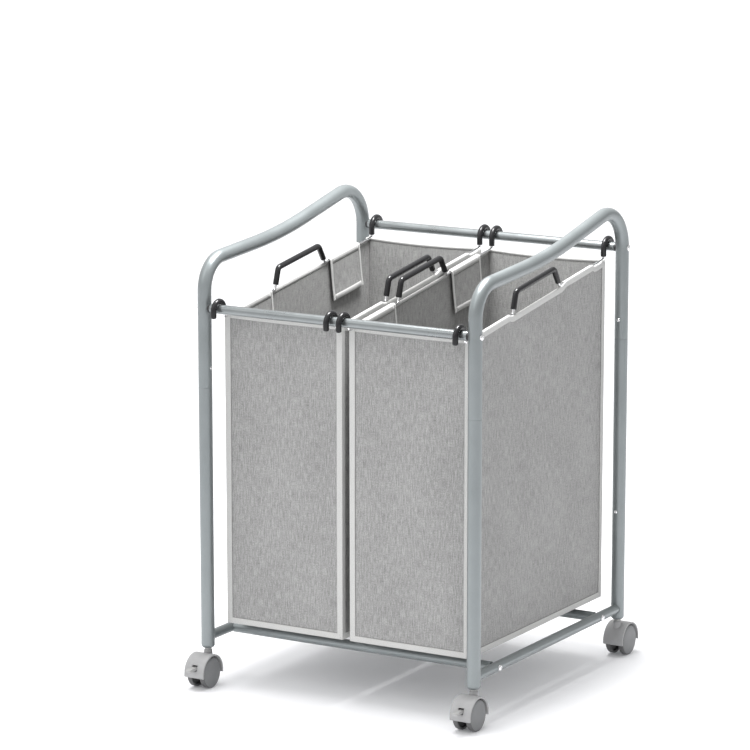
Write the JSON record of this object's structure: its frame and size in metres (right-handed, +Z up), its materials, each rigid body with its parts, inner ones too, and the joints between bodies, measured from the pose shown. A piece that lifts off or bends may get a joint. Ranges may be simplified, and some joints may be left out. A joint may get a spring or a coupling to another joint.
{
  "type": "laundry sorter cart",
  "caption": "Wheeled laundry sorter: bent-tube frame with sloped side handles, hanging fabric bags on hooked wires, and swivel casters with front brakes.",
  "frame": {"origin": "on the floor, under the middle of the whole cart's outline, brake levers included", "axes": "+Z up; +X to the cart's right as seen from its low front; -Y to the low front, where the brake levers are; +Y to the high rear"},
  "size_m": [0.524, 0.593, 0.7564],
  "materials": {
    "frame_steel": "satin silver-grey",
    "bar_steel": "semi-gloss silver",
    "bright_metal": "polished",
    "wire": "polished",
    "black_vinyl": "glossy soft vinyl",
    "black_plastic": "matt",
    "caster_plastic": "moulded, low gloss",
    "wheel_plastic": "moulded",
    "lever_plastic": "moulded",
    "bag_cloth": "plain-weave grey melange",
    "binding_tape": "ribbed off-white tape"
  },
  "bodies": {
    "frame": {"handle_left": "frame_steel", "handle_right": "frame_steel", "post_front_left": "frame_steel", "post_front_right": "frame_steel", "post_rear_left": "frame_steel", "post_rear_right": "frame_steel", "rail_left": "frame_steel", "rail_right": "frame_steel", "top_bar_front": "bar_steel", "top_bar_rear": "bar_steel", "cross_bar_front": "frame_steel", "cross_bar_rear": "frame_steel", "top_bar_plugs": "black_plastic", "cross_bar_plugs": "black_plastic", "top_bolts": "bright_metal", "cross_bolts": "bright_metal", "joint_screws": "bright_metal", "caster_sockets": "black_plastic", "stem_front_left": "bright_metal", "stem_front_right": "bright_metal", "stem_rear_left": "bright_metal", "stem_rear_right": "bright_metal"},
    "caster_front_left": {"hood_front_left": "caster_plastic", "axle_front_left": "bright_metal"},
    "wheel_fl_left": {"wheel_fl_left": "wheel_plastic"},
    "wheel_fl_right": {"wheel_fl_right": "wheel_plastic"},
    "brake_lever_left": {"brake_lever_left": "lever_plastic"},
    "caster_rear_left": {"hood_rear_left": "caster_plastic", "axle_rear_left": "bright_metal"},
    "wheel_rl_left": {"wheel_rl_left": "wheel_plastic"},
    "wheel_rl_right": {"wheel_rl_right": "wheel_plastic"},
    "caster_front_right": {"hood_front_right": "caster_plastic", "axle_front_right": "bright_metal"},
    "wheel_fr_left": {"wheel_fr_left": "wheel_plastic"},
    "wheel_fr_right": {"wheel_fr_right": "wheel_plastic"},
    "brake_lever_right": {"brake_lever_right": "lever_plastic"},
    "caster_rear_right": {"hood_rear_right": "caster_plastic", "axle_rear_right": "bright_metal"},
    "wheel_rr_left": {"wheel_rr_left": "wheel_plastic"},
    "wheel_rr_right": {"wheel_rr_right": "wheel_plastic"},
    "bag_left": {"bag_left_shell": "bag_cloth", "bag_left_binding": "binding_tape", "bag_left_flaps": "bag_cloth", "bag_left_wire_outer": "wire", "bag_left_wire_inner": "wire", "bag_left_grips": "black_vinyl", "bag_left_hooks": "black_vinyl"},
    "bag_right": {"bag_right_shell": "bag_cloth", "bag_right_binding": "binding_tape", "bag_right_flaps": "bag_cloth", "bag_right_wire_outer": "wire", "bag_right_wire_inner": "wire", "bag_right_grips": "black_vinyl", "bag_right_hooks": "black_vinyl"}
  },
  "joints": [
    {"name": "swivel_front_left", "type": "hinge", "parent": "frame", "child": "caster_front_left", "pos_m": [-0.244, -0.237, 0.055], "axis": [0, 0, 1], "continuous": true},
    {"name": "roll_fl_left", "type": "hinge", "parent": "caster_front_left", "child": "wheel_fl_left", "pos_m": [-0.255, -0.2505, 0.025], "axis": [1, 0, 0], "continuous": true},
    {"name": "roll_fl_right", "type": "hinge", "parent": "caster_front_left", "child": "wheel_fl_right", "pos_m": [-0.233, -0.2505, 0.025], "axis": [1, 0, 0], "continuous": true},
    {"name": "brake_left", "type": "hinge", "parent": "caster_front_left", "child": "brake_lever_left", "pos_m": [-0.244, -0.272, 0.036], "axis": [1, 0, 0], "range_deg": [0, 14]},
    {"name": "swivel_rear_left", "type": "hinge", "parent": "frame", "child": "caster_rear_left", "pos_m": [-0.244, 0.253, 0.055], "axis": [0, 0, 1], "continuous": true},
    {"name": "roll_rl_left", "type": "hinge", "parent": "caster_rear_left", "child": "wheel_rl_left", "pos_m": [-0.255, 0.2665, 0.025], "axis": [1, 0, 0], "continuous": true},
    {"name": "roll_rl_right", "type": "hinge", "parent": "caster_rear_left", "child": "wheel_rl_right", "pos_m": [-0.233, 0.2665, 0.025], "axis": [1, 0, 0], "continuous": true},
    {"name": "swivel_front_right", "type": "hinge", "parent": "frame", "child": "caster_front_right", "pos_m": [0.244, -0.237, 0.055], "axis": [0, 0, 1], "continuous": true},
    {"name": "roll_fr_left", "type": "hinge", "parent": "caster_front_right", "child": "wheel_fr_left", "pos_m": [0.233, -0.2505, 0.025], "axis": [1, 0, 0], "continuous": true},
    {"name": "roll_fr_right", "type": "hinge", "parent": "caster_front_right", "child": "wheel_fr_right", "pos_m": [0.255, -0.2505, 0.025], "axis": [1, 0, 0], "continuous": true},
    {"name": "brake_right", "type": "hinge", "parent": "caster_front_right", "child": "brake_lever_right", "pos_m": [0.244, -0.272, 0.036], "axis": [1, 0, 0], "range_deg": [0, 14]},
    {"name": "swivel_rear_right", "type": "hinge", "parent": "frame", "child": "caster_rear_right", "pos_m": [0.244, 0.253, 0.055], "axis": [0, 0, 1], "continuous": true},
    {"name": "roll_rr_left", "type": "hinge", "parent": "caster_rear_right", "child": "wheel_rr_left", "pos_m": [0.233, 0.2665, 0.025], "axis": [1, 0, 0], "continuous": true},
    {"name": "roll_rr_right", "type": "hinge", "parent": "caster_rear_right", "child": "wheel_rr_right", "pos_m": [0.255, 0.2665, 0.025], "axis": [1, 0, 0], "continuous": true},
    {"name": "lift_bag_left", "type": "slide", "parent": "frame", "child": "bag_left", "axis": [0, 0, 1], "range_m": [0, 0.66]},
    {"name": "lift_bag_right", "type": "slide", "parent": "frame", "child": "bag_right", "axis": [0, 0, 1], "range_m": [0, 0.66]}
  ]
}
